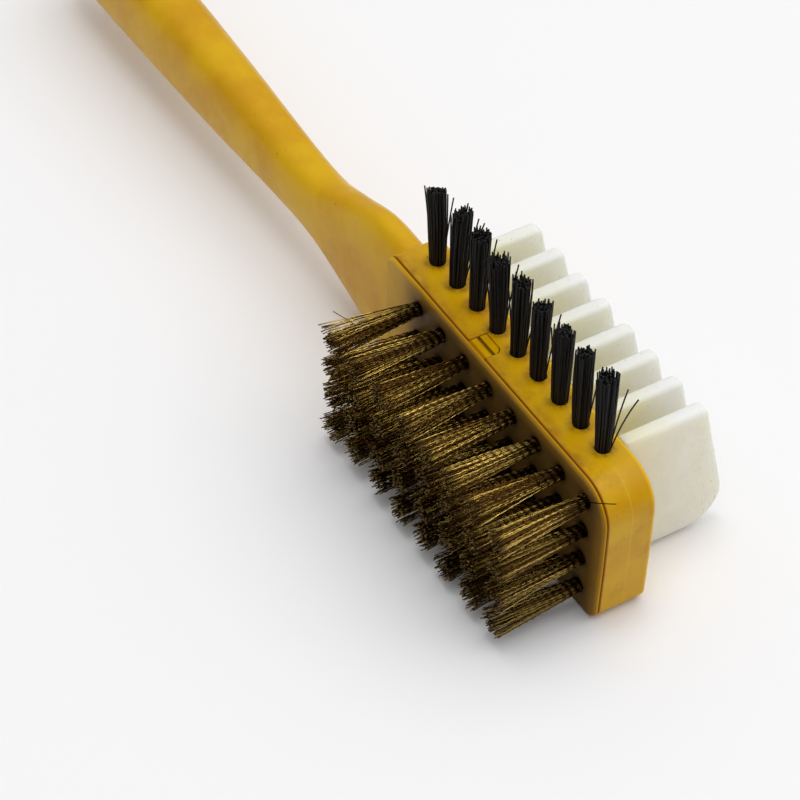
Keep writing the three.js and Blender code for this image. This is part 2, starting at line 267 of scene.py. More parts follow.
def curve_through(stations, column, at):
    """Smooth curve through the stations: at each one it has the slope of the line between its neighbours."""
    table = np.array(stations, float)
    t, y = table[:, 0], table[:, column]
    slope = np.gradient(y)
    slope[1:-1] = (y[2:] - y[:-2]) / (t[2:] - t[:-2])
    slope[0] = 1.5 * (y[1] - y[0]) / (t[1] - t[0]) - 0.5 * slope[1]
    slope[-1] = 1.5 * (y[-1] - y[-2]) / (t[-1] - t[-2]) - 0.5 * slope[-2]
    at = np.clip(at, t[0], t[-1])
    i = np.clip(np.searchsorted(t, at, side="right") - 1, 0, len(t) - 2)
    span = t[i + 1] - t[i]
    s = (at - t[i]) / span
    return (
        y[i] * (1 + 2 * s) * (1 - s) ** 2
        + slope[i] * span * s * (1 - s) ** 2
        + y[i + 1] * s * s * (3 - 2 * s)
        + slope[i + 1] * span * s * s * (s - 1)
    )


def handle_solid(sides=64):
    taper_start = HANDLE_LENGTH - HANDLE_END_LENGTH
    turn = np.linspace(0, math.pi / 2, 15)[:-1]
    distances = np.concatenate(
        [
            [-HANDLE_OVERLAP],
            np.linspace(0, HANDLE_FILLET, 6),
            np.linspace(HANDLE_FILLET, taper_start, 110)[1:],
            (taper_start + HANDLE_END_LENGTH * np.sin(turn))[1:],
            [HANDLE_LENGTH - 0.02],
        ]
    )
    around = np.linspace(0, 2 * math.pi, sides, endpoint=False)
    across, up = np.cos(around), np.sin(around)

    def squared(value):
        return np.sign(value) * np.abs(value) ** (2 / HANDLE_SQUARENESS)

    rings = []
    for distance in distances:
        past = max(0, distance - taper_start) / HANDLE_END_LENGTH
        taper = math.sqrt(max(0, 1 - past * past))
        short = np.clip(1 - distance / HANDLE_FILLET, 0, 1)
        fillet = HANDLE_FILLET * (1 - math.sqrt(1 - short**2))
        half_height = (curve_through(HANDLE_STATIONS, 1, distance) + fillet) * taper
        half_thickness = curve_through(HANDLE_STATIONS, 2, distance) * taper
        s = np.clip(distance / HANDLE_LENGTH, 0, 1)
        rise = HANDLE_RISE * s * s * (3 - 2 * s)
        ring = [
            np.full(sides, HEAD_LEFT - distance),
            HANDLE_CENTRE_Y + half_thickness * squared(across),
            HANDLE_CENTRE_Z + rise + half_height * squared(up),
        ]
        rings.append(np.stack(ring, 1))
    return lofted(rings, outward_first=False)


def lug_solid(gap, bottom, top):
    """The snap lug: a post with straight sides and one round corner, at the back on the tip side."""
    left, right = LUG["left"] - gap, LUG["right"] + gap
    front, back, radius = LUG["front"] - gap, LUG["back"] + gap, LUG["radius"]
    points = [(left, front), (right, front)]
    points += arc((right - radius, back - radius), radius, 0, 90, 6)
    points += [(left, back)]
    rings = [np.array([(x, y, z) for x, y in points]) for z in (bottom, top)]
    return lofted(rings, outward_first=True)


def opening(place, gap=0.0):
    """The outline of the pocket or the recess, or with a gap of the part that sits in it."""
    left, right, bottom, top, radius = (place[key] for key in ("left", "right", "bottom", "top", "radius"))
    return rounded_rectangle(left + gap, right - gap, bottom + gap, top - gap, radius - gap)


def make_body():
    head = extruded(head_outline(), BODY_FRONT_Y, BACK_Y, FRONT_ROUNDING, BACK_ROUNDING)
    body = new_object("handle_and_head", head)
    boolean(body, handle_solid(), "UNION")
    boolean(body, extruded(opening(POCKET), BODY_FRONT_Y - 1, PLUG_BACK_Y + FIT_GAP, 0, 0.01), "DIFFERENCE")
    boolean(body, extruded(opening(RECESS), BODY_FRONT_Y - 1, RECESS_BACK_Y, 0, 0.01), "DIFFERENCE")
    boolean(body, lug_solid(FIT_GAP, POCKET["top"] - 1, HEAD_HEIGHT + 1), "DIFFERENCE")
    hole_bottom = HEAD_HEIGHT - NYLON_HOLE_DEPTH
    holes = [pin(place, NYLON_HOLE_RADIUS, hole_bottom, HEAD_HEIGHT + 1, "Z") for place in NYLON_PLACES]
    half_slot = FIN_THICKNESS / 2 + FIT_GAP
    bottom, top = NECK_BOTTOM - FIT_GAP, NECK_TOP + FIT_GAP
    slots = []
    for x in FIN_PLACES:
        slot = rounded_rectangle(x - half_slot, x + half_slot, bottom, top, SLOT_CORNER_RADIUS, steps=3)
        slots.append(extruded(slot, RECESS_BACK_Y - 1, BACK_Y + 1, 0.01, 0.01))
    boolean(body, together(*holes, *slots), "DIFFERENCE")
    smooth(body)
    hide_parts("handle_body")
    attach(body, "root")
    return body


def make_plate():
    rim = extruded(head_outline(), FRONT_Y, RIM_BACK_Y, RIM_ROUNDING, 0.18)
    plate = new_object("bristle_plate_face", rim)
    boolean(plate, extruded(opening(POCKET, FIT_GAP), FRONT_Y + 0.4, PLUG_BACK_Y, 0.01, 0.2), "UNION")
    boolean(plate, lug_solid(0, POCKET["top"] - 1, LUG["top"]), "UNION")
    groove_bottom = LUG["top"] - LUG_GROOVE["depth"]
    groove = rounded_rectangle(LUG["left"] - 1, LUG["right"] + 1, groove_bottom, LUG["top"] + 1, 0.1)
    boolean(plate, extruded(groove, LUG_GROOVE["front"], LUG_GROOVE["back"], 0.01, 0.01), "DIFFERENCE")
    holes = []
    for row in range(BRASS_ROWS):
        for column in range(BRASS_COLUMNS):
            place = brass_place(row, column)
            holes.append(pin(place, BRASS_HOLE_RADIUS, FRONT_Y - 1, FRONT_Y + BRASS_HOLE_DEPTH, "Y"))
    boolean(plate, together(*holes), "DIFFERENCE")
    smooth(plate)
    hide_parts("bristle_plate")
    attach(plate, "root")
    return plate


# ---------------------------------------------------------------- rubber comb

def fin_outline():
    """Side view of one fin with its neck, as (y, z)."""
    wall = BACK_Y + FIT_GAP
    low = np.array([BACK_Y + FIN_REACH_LOW, FIN_BOTTOM])
    high = np.array([BACK_Y + FIN_REACH_HIGH, FIN_TOP])
    edge = (high - low) / np.linalg.norm(high - low)
    lean = math.degrees(math.atan2(edge[1], edge[0]))
    points = [(FLANGE_BACK_Y - 0.4, NECK_BOTTOM), (wall, NECK_BOTTOM), (wall, FIN_BOTTOM)]
    low_turn = math.radians(lean) / 2
    low_centre = low + np.array([-FIN_RADIUS_LOW / math.tan(math.pi / 2 - low_turn), FIN_RADIUS_LOW])
    points += arc(low_centre, FIN_RADIUS_LOW, 270, 270 + lean, 12)
    high_turn = math.radians(180 - lean) / 2
    high_centre = high + np.array([-FIN_RADIUS_HIGH / math.tan(math.pi / 2 - high_turn), -FIN_RADIUS_HIGH])
    points += arc(high_centre, FIN_RADIUS_HIGH, lean - 90, 90, 12)
    points += [(wall, FIN_TOP), (wall, NECK_TOP), (FLANGE_BACK_Y - 0.4, NECK_TOP)]
    return np.array(points)


def make_comb():
    flange = opening(RECESS, FIT_GAP)
    comb = new_object("rubber_comb_fins", extruded(flange, FLANGE_FRONT_Y, FLANGE_BACK_Y, 0.3, 0.3))
    half = FIN_THICKNESS / 2
    outline = fin_outline()
    fins = [extruded(outline, x - half, x + half, FIN_ROUNDING, FIN_ROUNDING, "X") for x in FIN_PLACES]
    boolean(comb, together(*fins), "UNION")
    smooth(comb, 40)
    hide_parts("rubber_comb")
    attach(comb, "root")
    return comb


# ---------------------------------------------------------------- tufts of thin strands

def strand_tubes(name, paths, radius, sides, shades):
    """One piece of closed tubes: paths is strands x points x 3 in mm, shades one number for each strand."""
    strands, points = paths.shape[:2]
    tangent = np.gradient(paths, axis=1)
    tangent /= np.linalg.norm(tangent, axis=2)[:, :, None]
    reference = np.array([1.0, 0, 0])
    side = np.cross(tangent, reference)
    side /= np.linalg.norm(side, axis=2)[:, :, None]
    up = np.cross(side, tangent)
    turn = np.linspace(0, 2 * math.pi, sides, endpoint=False) + math.pi / 4
    ring = side[:, :, None] * np.cos(turn)[:, None] + up[:, :, None] * np.sin(turn)[:, None]
    vertices = (paths[:, :, None] + ring * radius).reshape(-1, 3) * MM

    start = (np.arange(strands) * points * sides)[:, None, None]
    step = (np.arange(points - 1) * sides)[None, :, None]
    here = start + step + np.arange(sides)
    beside = start + step + (np.arange(sides) + 1) % sides
    quads = np.stack([here, here + sides, beside + sides, beside], -1).reshape(-1)
    first = (start[:, 0] + np.arange(sides)).reshape(-1)
    last = (start[:, 0] + (points - 1) * sides + np.arange(sides)[::-1]).reshape(-1)
    corners = np.concatenate([quads, first, last]).astype(np.int32)
    wall_faces = strands * (points - 1) * sides
    sizes = np.concatenate([np.full(wall_faces, 4), np.full(2 * strands, sides)])
    starts = np.concatenate([[0], np.cumsum(sizes)[:-1]]).astype(np.int32)

    mesh = bpy.data.meshes.new(name)
    mesh.vertices.add(len(vertices))
    mesh.vertices.foreach_set("co", vertices.ravel())
    mesh.loops.add(len(corners))
    mesh.loops.foreach_set("vertex_index", corners)
    mesh.polygons.add(len(sizes))
    mesh.polygons.foreach_set("loop_start", starts)
    mesh.update(calc_edges=True)
    mesh.validate()
    mesh.shade_smooth()
    mesh.set_sharp_from_angle(angle=math.radians(60 if sides > 4 else 100))
    shade = mesh.attributes.new("shade", "FLOAT", "POINT")
    shade.data.foreach_set("value", np.repeat(shades, points * sides).astype(np.float32))
    piece = bpy.data.objects.new(name, mesh)
    bpy.context.scene.collection.objects.link(piece)
    return piece


def disc(count, radius):
    """Points spread evenly over a disc, a little disordered."""
    index = np.arange(count) + 0.5
    distance = radius * np.sqrt(index / count)
    angle = index * math.pi * (3 - math.sqrt(5)) + chance.uniform(-0.25, 0.25, count)
    spread = np.stack([distance * np.cos(angle), distance * np.sin(angle)], 1)
    return spread + chance.normal(0, radius * 0.03, (count, 2))


def nylon_tuft(number, place):
    count, points = NYLON_COUNT, 9
    low = disc(count, NYLON_BUNDLE_RADIUS)
    high = low * chance.uniform(1.25, 1.5) + chance.normal(0, 0.17, (count, 2))
    slope = chance.normal(0, 0.35, 2)
    height = NYLON_HEIGHT + 0.1 - np.abs(chance.normal(0, 0.55, count)) + low @ slope
    t = np.linspace(0, 1, points)[None, :, None]
    lean = chance.normal(0, 0.2, 2)
    bow = chance.normal(0, 0.1, (count, 2))
    across = low[:, None] * (1 - t) + high[:, None] * t + lean * t**2 + bow[:, None] * np.sin(math.pi * t)
    depth = NYLON_HOLE_DEPTH - 1.2
    up = -depth + (height + depth)[:, None] * t[:, :, 0]
    paths = np.concatenate([across, up[:, :, None]], 2) + np.array(place)
    strays = NYLON_STRAYS.get(number, ())
    if strays:
        paths = np.concatenate([paths, stray_paths(place, strays, points)])
    shades = chance.uniform(0, 1, len(paths))
    tuft = strand_tubes(f"nylon_filaments_{number}", paths, NYLON_STRAND_RADIUS, 6, shades)
    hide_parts(f"nylon_tuft_{number}")
    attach(tuft, "root")
    return tuft


# Filaments that have come away, in mm from the tuft's centre: the foot as (x, y), the tip as (x, y, height)
NYLON_STRAYS = {
    1: [
        ((-0.9, -0.6), (-2.0, -1.7, 15.5)),
        ((-0.8, -0.8), (-1.5, -1.7, 13.9)),
        ((0.9, 0.4), (1.9, 1.3, 14.6)),
    ],
    2: [
        ((-0.9, 0.3), (-0.4, 1.6, 16.2)),
        ((0.9, 0.5), (2.4, 1.9, 15.0)),
        ((0.8, 0.7), (3.0, 2.6, 14.2)),
    ],
    3: [((-0.9, -0.5), (-2.2, -0.9, 14.2)), ((0.9, 0.6), (2.0, 1.7, 15.2))],
    4: [((-0.9, -0.6), (-2.4, -1.5, 13.7)), ((0.9, 0.6), (2.0, 1.9, 14.6))],
    5: [((-0.8, -0.6), (-2.2, -1.0, 12.4)), ((0.9, 0.6), (2.2, 1.7, 9.5))],
    6: [((0.9, 0.5), (2.2, 1.8, 14.2))],
    7: [((-0.9, -0.6), (-1.8, -1.3, 14.6))],
    8: [((0.9, 0.5), (2.4, 1.4, 13.6))],
    9: [((1.0, 0.4), (3.9, 2.9, 12.4)), ((0.9, 0.5), (2.6, 1.8, 14.0))],
}


def stray_paths(place, strays, points):
    t = np.linspace(0, 1, points)[:, None]
    paths = []
    for foot, tip in strays:
        start = np.array([foot[0], foot[1], -1.0])
        end = np.array(tip, float)
        middle = (start + end) / 2 + np.array([0.25 * (foot[0] - tip[0]), 0, 0.6])
        paths.append(start * (1 - t) ** 2 + middle * 2 * t * (1 - t) + end * t * t)
    return np.array(paths) + np.array(place)


def brass_place(row, column):
    return (BRASS_FIRST_X + BRASS_PITCH_X * column, FRONT_Y, BRASS_TOP_Z - BRASS_PITCH_Z * row)


WIRE_COUNT = 84
WIRE_RADIUS = 0.09
BRASS_BUNDLE_RADIUS = 1.12
BRASS_FLARE = 2.1
CRIMP_LENGTH = 1.3
CRIMP_DEPTH = 0.07
CRIMP_STEPS = 5


def crimped(base_line, along, phase, direction, depth):
    """Adds the crimp's wave to straight wires: the wave's plane and phase are given for each wire."""
    wave = np.sin(2 * math.pi * along / CRIMP_LENGTH + phase[:, None]) * depth[:, None]
    side = np.sin(math.pi * along / CRIMP_LENGTH + 0.7 * phase[:, None]) * depth[:, None] * 0.35
    first = np.stack([np.cos(direction), np.zeros(len(direction)), np.sin(direction)], 1)
    second = np.stack([-np.sin(direction), np.zeros(len(direction)), np.cos(direction)], 1)
    return base_line + wave[:, :, None] * first[:, None] + side[:, :, None] * second[:, None]


def brass_tuft(row, column):
    place = np.array(brass_place(row, column))
    inside = BRASS_HOLE_DEPTH - 0.9
    points = int((BRASS_LENGTH + inside) / CRIMP_LENGTH * CRIMP_STEPS)
    low = disc(WIRE_COUNT, BRASS_BUNDLE_RADIUS)
    high = low * BRASS_FLARE + chance.normal(0, 0.34, (WIRE_COUNT, 2))
    length = BRASS_LENGTH - np.abs(chance.normal(0, 0.28, WIRE_COUNT))
    t = np.linspace(0, 1, points)
    free = np.clip((t * (BRASS_LENGTH + inside) - inside) / BRASS_LENGTH, 0, 1)[None, :, None]
    lean = chance.normal(0, 0.3, 2)
    bow = chance.normal(0, 0.14, (WIRE_COUNT, 2))
    across = low[:, None] + (high - low)[:, None] * free + lean * free**2
    across += bow[:, None] * np.sin(math.pi * free)
    out = inside - (length + inside)[:, None] * t
    line = np.stack([across[:, :, 0], out, across[:, :, 1]], 2) + place
    shared = chance.uniform(0, 2 * math.pi)
    phase = shared + 1.3 * low[:, 0] - 1.1 * low[:, 1] + chance.normal(0, 0.35, WIRE_COUNT)
    direction = chance.normal(math.pi / 4, 0.6, WIRE_COUNT)
    depth = CRIMP_DEPTH * chance.uniform(0.75, 1.2, WIRE_COUNT)
    paths = crimped(line, -out, phase, direction, depth)
    strays = BRASS_STRAYS.get((row, column), ())
    shades = chance.uniform(0, 1, WIRE_COUNT + len(strays))
    if strays:
        paths = np.concatenate([paths, brass_stray_paths(place, strays, points)])
    paths[:, :, 2] = np.maximum(paths[:, :, 2], 1.5 * WIRE_RADIUS)
    name = f"brass_wires_row{row + 1}_{column + 1}"
    tuft = strand_tubes(name, paths, WIRE_RADIUS, 4, shades)
    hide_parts(f"brass_tuft_row{row + 1}_{column + 1}")
    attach(tuft, "root")
    return tuft


# Wires that have come away: foot, middle and tip from the middle of the tuft's hole, each (x, out, z) in mm
BRASS_STRAYS = {
    (0, 0): [
        ((-0.8, 0.5, 0.8), (-1.2, 8, 1.9), (-1.6, 17.1, 2.6)),
        ((-0.6, 0.5, 0.9), (-0.9, 9, 2.0), (-1.2, 17.4, 3.4)),
        ((-0.9, 0.5, 0.4), (-1.8, 8, 1.4), (-3.2, 16.8, 1.8)),
        ((-0.4, 11, 0.9), (-0.8, 13, 3.2), (-1.4, 15.2, 5.6)),
    ],
    (0, 7): [((0.9, 0.3, 0.8), (4.8, 0.8, 4.4), (8.6, 0.8, 7.8))],
}


def brass_stray_paths(place, strays, points):
    t = np.linspace(0, 1, points)[:, None]
    paths = []
    for foot, middle, tip in strays:
        start, centre, end = (np.array([x, -out, z]) for x, out, z in (foot, middle, tip))
        handle = 2 * centre - (start + end) / 2
        paths.append(start * (1 - t) ** 2 + handle * 2 * t * (1 - t) + end * t * t)
    return np.array(paths) + place


# ---------------------------------------------------------------- materials

class Look:
    """A node material in short calls: each call adds a node and gives back its output."""

    def __init__(self, name):
        self.material = bpy.data.materials.new(name)
        self.material.use_nodes = True
        self.tree = self.material.node_tree
        self.shader = self.tree.nodes["Principled BSDF"]
        self.place = self.node("ShaderNodeTexCoord").outputs["Object"]

    def node(self, kind, **settings):
        node = self.tree.nodes.new(kind)
        for key, value in settings.items():
            setattr(node, key, value)
        return node

    def feed(self, socket, value):
        if isinstance(value, bpy.types.NodeSocket):
            self.tree.links.new(value, socket)
        else:
            socket.default_value = value

    def noise(self, scale, detail=3, roughness=0.5, where=None, distortion=0.0):
        node = self.node("ShaderNodeTexNoise")
        self.feed(node.inputs["Vector"], where or self.place)
        node.inputs["Scale"].default_value = scale
        node.inputs["Detail"].default_value = detail
        node.inputs["Roughness"].default_value = roughness
        node.inputs["Distortion"].default_value = distortion
        return node.outputs["Fac"]

    def stretched(self, x, y, z):
        node = self.node("ShaderNodeMapping")
        self.feed(node.inputs["Vector"], self.place)
        node.inputs["Scale"].default_value = (x, y, z)
        return node.outputs["Vector"]

    def range(self, value, low, high, to_low=0.0, to_high=1.0):
        node = self.node("ShaderNodeMapRange", interpolation_type="SMOOTHSTEP")
        self.feed(node.inputs["Value"], value)
        node.inputs["From Min"].default_value = low
        node.inputs["From Max"].default_value = high
        node.inputs["To Min"].default_value = to_low
        node.inputs["To Max"].default_value = to_high
        return node.outputs["Result"]

    def sum(self, operation, a, b=0.0, c=0.0):
        node = self.node("ShaderNodeMath", operation=operation)
        for socket, value in zip(node.inputs, (a, b, c)):
            self.feed(socket, value)
        return node.outputs["Value"]

    def mix(self, share, a, b):
        node = self.node("ShaderNodeMix", data_type="RGBA")
        self.feed(node.inputs["Factor"], share)
        self.feed(node.inputs["A"], a)
        self.feed(node.inputs["B"], b)
        return node.outputs["Result"]

    def axes(self):
        node = self.node("ShaderNodeSeparateXYZ")
        self.feed(node.inputs["Vector"], self.place)
        return node.outputs

    def bump(self, height, strength, distance):
        node = self.node("ShaderNodeBump")
        node.inputs["Strength"].default_value = strength
        node.inputs["Distance"].default_value = distance
        self.feed(node.inputs["Height"], height)
        self.feed(self.shader.inputs["Normal"], node.outputs["Normal"])

    def set(self, **values):
        for name, value in values.items():
            self.feed(self.shader.inputs[name.replace("_", " ")], value)


def rgb(red, green, blue):
    """A display colour, 0 to 255, as the linear colour that a shader takes."""
    channels = [((c / 255 + 0.055) / 1.055) ** 2.4 if c > 10 else c / 255 / 12.92 for c in (red, green, blue)]
    return (*channels, 1)


def near_places(look, first, pitch, row_axis, row_value, low, high):
    """1 close to the tuft holes of a row along X, 0 far from them: distances in mm."""
    x = look.axes()[0]
    along = look.sum("PINGPONG", look.sum("SUBTRACT", x, first * MM), pitch / 2 * MM)
    across = look.sum("SUBTRACT", row_axis, row_value)
    distance = look.sum("SQRT", look.sum("ADD", look.sum("POWER", along, 2), look.sum("POWER", across, 2)))
    return look.range(distance, low * MM, high * MM, 1, 0)


def plastic_base(name):
    """Yellow plastic with soft clouds and rare dark specks: the look so far and its colour."""
    look = Look(name)
    colour = look.mix(look.range(look.noise(90, 4, 0.6), 0.3, 0.7), rgb(203, 148, 0), rgb(216, 168, 3))
    specks = look.range(look.noise(1500, 2, 0.4), 0.69, 0.78)
    rare = look.range(look.noise(160, 2), 0.45, 0.7)
    share = look.sum("MULTIPLY", look.sum("MULTIPLY", specks, rare), 0.5)
    return look, look.mix(share, colour, rgb(120, 74, 14))


def plastic_finish(look, colour, specular):
    look.set(Base_Color=colour, Roughness=look.range(look.noise(600, 4), 0.3, 0.7, 0.28, 0.44))
    look.set(Specular_IOR_Level=specular, Subsurface_Weight=0.06)
    look.set(Subsurface_Radius=(1.0, 0.6, 0.1), Subsurface_Scale=0.0015)
    grain = look.sum("ADD", look.noise(2600, 3), look.sum("MULTIPLY", look.noise(260, 2), 2.0))
    look.bump(grain, 0.12, 0.00006)
    return look.material


def body_plastic():
    """Yellow plastic, smudged, with dirt in the seam, beside it on the top face and round the nylon tufts, a
    painted highlight on the back edge and a pale painted highlight along the mould line near the tip.
    """
    look, colour = plastic_base("yellow_plastic_body")
    x, y, z = look.axes()
    on_top = look.range(z, (HEAD_HEIGHT - 0.3) * MM, HEAD_HEIGHT * MM)
    on_head = look.range(x, (HEAD_LEFT - 0.5) * MM, (HEAD_LEFT + 0.2) * MM)

    smudges = look.range(look.noise(200, 5, 0.7), 0.5, 0.72, 0, 0.32)
    colour = look.mix(look.sum("MULTIPLY", smudges, on_head), colour, rgb(164, 106, 18))

    beside_seam = look.range(y, (BODY_FRONT_Y + 0.2) * MM, (BODY_FRONT_Y + 2.7) * MM, 1, 0)
    grime = look.sum("MULTIPLY", beside_seam, on_top)
    grime = look.sum("MULTIPLY", grime, look.range(look.noise(260, 5, 0.65), 0.4, 0.68, 0.12, 0.75))
    colour = look.mix(look.sum("MULTIPLY", grime, on_head), colour, rgb(150, 98, 20))

    near = near_places(look, NYLON_FIRST_X, NYLON_PITCH, y, NYLON_Y * MM, 1.4, 2.9)
    near = look.sum("MULTIPLY", near, look.sum("MULTIPLY", on_top, look.range(x, 25 * MM, 24 * MM)))
    near = look.sum("MULTIPLY", near, look.sum("MULTIPLY", on_head, look.range(x, -29.5 * MM, -28.5 * MM)))
    dirt = look.sum("MULTIPLY", near, look.range(look.noise(900, 4, 0.7), 0.38, 0.7, 0.12, 0.85))
    colour = look.mix(dirt, colour, rgb(122, 74, 16))

    # Painted highlight: a lighter band along the head's rounded back edge.
    painted_back_edge_highlight = look.sum("MULTIPLY", look.range(y, (BACK_Y - 0.9) * MM, (BACK_Y - 0.3) * MM), on_head)
    colour = look.mix(look.sum("MULTIPLY", painted_back_edge_highlight, 0.7), colour, rgb(240, 192, 6))
    # The mould line near the tip, drawn as a thin pale painted highlight.
    from_line = look.sum("ABSOLUTE", look.sum("SUBTRACT", y, MOULD_LINE_Y * MM))
    on_end = look.range(x, (HEAD_RIGHT - 6.5) * MM, (HEAD_RIGHT - 4.5) * MM)
    mould_line_highlight = look.sum("MULTIPLY", look.range(from_line, 0.03 * MM, 0.14 * MM, 0.22, 0), on_end)
    colour = look.mix(mould_line_highlight, colour, rgb(244, 206, 96))
    in_seam = look.range(y, (BODY_FRONT_Y + 0.1) * MM, (BODY_FRONT_Y + 0.35) * MM, 0.75, 0)
    seam = look.sum("MULTIPLY", in_seam, on_head)
    colour = look.mix(seam, colour, rgb(146, 84, 14))
    return plastic_finish(look, colour, 0.22)


def plate_plastic():
    """The same plastic with a browner rim, dust mixed with painted shade on its front face, tan dust near the
    handle, darker dirt and painted shade between the wire tufts, and painted shade in the lug's groove.
    """
    look, colour = plastic_base("yellow_plastic_plate")
    x, y, z = look.axes()
    rim = look.sum("MULTIPLY", look.range(y, (RIM_BACK_Y - 0.1) * MM, (RIM_BACK_Y - 0.5) * MM), 0.5)
    rim = look.sum("MULTIPLY", rim, look.range(x, (HEAD_LEFT + 2) * MM, (HEAD_LEFT + 14) * MM, 0.2, 1))
    colour = look.mix(rim, colour, rgb(128, 84, 22))
    # Front face: patchy dust mixed with painted shade, thicker away from the handle, tan near it.
    face = look.range(y, (FRONT_Y + 0.02) * MM, (FRONT_Y + 0.62) * MM, 1, 0)
    patches = look.range(look.noise(130, 5, 0.6), 0.3, 0.7, 0.7, 1.0)
    from_handle = look.range(x, (HEAD_LEFT + 2) * MM, (HEAD_LEFT + 10.5) * MM)
    thicker = look.sum("MULTIPLY_ADD", from_handle, 0.5, 0.5)
    dust_and_shade = look.sum("MULTIPLY", look.sum("MULTIPLY", face, patches), thicker)
    colour = look.mix(dust_and_shade, colour, look.mix(from_handle, rgb(204, 164, 92), rgb(132, 98, 44)))
    # Darker dirt and painted shade on the front face between the wire tufts, darkest round their holes.
    inside_tip = look.range(x, (HEAD_RIGHT - 0.2) * MM, (HEAD_RIGHT - 3.5) * MM)
    inside_handle_end = look.range(x, (HEAD_LEFT + 5) * MM, (HEAD_LEFT + 12) * MM)
    below_top = look.range(z, (HEAD_HEIGHT - 0.2) * MM, (HEAD_HEIGHT - 3) * MM)
    dirt_and_shade_field = look.sum("MULTIPLY", inside_tip, inside_handle_end)
    dirt_and_shade_field = look.sum("MULTIPLY", look.sum("MULTIPLY", dirt_and_shade_field, below_top), face)
    colour = look.mix(look.sum("MULTIPLY", dirt_and_shade_field, 0.68), colour, rgb(70, 52, 32))
    from_row = look.sum("PINGPONG", look.sum("SUBTRACT", BRASS_TOP_Z * MM, z), BRASS_PITCH_Z / 2 * MM)
    near = near_places(look, BRASS_FIRST_X, BRASS_PITCH_X, from_row, 0.0, 1.3, 2.4)
    colour = look.mix(look.sum("MULTIPLY", near, look.sum("MULTIPLY", dirt_and_shade_field, 0.6)), colour, rgb(48, 34, 20))
    # Painted shade in the lug's groove.
    groove_front = look.range(y, (LUG_GROOVE["front"] - 0.2) * MM, LUG_GROOVE["front"] * MM)
    groove_back = look.range(y, (LUG_GROOVE["back"] + 0.15) * MM, (LUG_GROOVE["back"] - 0.05) * MM)
    groove_bottom = look.range(z, (LUG["top"] - 1.2) * MM, (LUG["top"] - 0.6) * MM, 0, 0.7)
    groove_shade = look.sum("MULTIPLY", look.sum("MULTIPLY", groove_front, groove_back), groove_bottom)
    colour = look.mix(groove_shade, colour, rgb(118, 92, 22))
    seam = look.range(y, (RIM_BACK_Y - 0.3) * MM, (RIM_BACK_Y - 0.05) * MM, 0, 0.75)
    before_body = look.range(y, (BODY_FRONT_Y + 0.2) * MM, (BODY_FRONT_Y + 0.5) * MM, 1, 0)
    seam = look.sum("MULTIPLY", seam, before_body)
    colour = look.mix(seam, colour, rgb(146, 84, 14))
    return plastic_finish(look, colour, 0.04)


def white_rubber():
    """Cream rubber, with painted yellowish shade at the fins' roots, painted grey shade on the outermost fin,
    and scuffed at the tips.
    """
    look = Look("rubber")
    clouds = look.noise(140, 4, 0.6)
    colour = look.mix(look.range(clouds, 0.3, 0.7), rgb(249, 245, 226), rgb(254, 251, 238))
    x, y, z = look.axes()
    # Painted yellowish shade at the fins' roots, between the fins.
    root = look.range(y, (BACK_Y + 1) * MM, (BACK_Y + 13) * MM, 0.75, 0)
    colour = look.mix(root, colour, rgb(246, 234, 184))
    # Painted shade: the outermost fin, whose face is in shade, is greyed.
    outermost = look.sum("MULTIPLY", look.range(x, 20.5 * MM, 22.2 * MM), look.range(z, 27.2 * MM, 26.2 * MM))
    outer_fin_shade = look.sum("MULTIPLY", outermost, look.range(look.noise(220, 5, 0.65), 0.3, 0.7, 0.5, 0.95))
    colour = look.mix(outer_fin_shade, colour, rgb(238, 231, 214))
    worn = look.range(y, 16.5 * MM, 21.5 * MM, 0.12, 0.6)
    scuff_place = look.stretched(1, 3.5, 1)
    scuffs = look.range(look.noise(700, 5, 0.7, scuff_place, 0.6), 0.56, 0.7)
    colour = look.mix(look.sum("MULTIPLY", scuffs, worn), colour, rgb(186, 172, 144))
    specks = look.range(look.noise(1700, 2, 0.4), 0.72, 0.78)
    colour = look.mix(look.sum("MULTIPLY", specks, 0.35), colour, rgb(150, 130, 100))
    look.set(Base_Color=colour, Roughness=look.range(look.noise(500, 4), 0.3, 0.7, 0.42, 0.6))
    look.set(Subsurface_Weight=0.9, Subsurface_Radius=(1.0, 0.93, 0.66), Subsurface_Scale=0.006)
    look.bump(look.sum("ADD", look.noise(900, 5, 0.6), scuffs), 0.25, 0.00008)
    return look.material


def black_nylon():
    look = Look("nylon")
    shade = look.node("ShaderNodeAttribute", attribute_name="shade").outputs["Fac"]
    streaks = look.noise(900, 3, 0.6, look.stretched(1, 1, 0.15))
    colour = look.mix(look.sum("MULTIPLY", shade, streaks), rgb(12, 12, 14), rgb(36, 34, 34))
    look.set(Base_Color=colour, Roughness=look.range(streaks, 0.3, 0.7, 0.5, 0.7), Specular_IOR_Level=0.3)
    look.bump(streaks, 0.2, 0.00002)
    return look.material


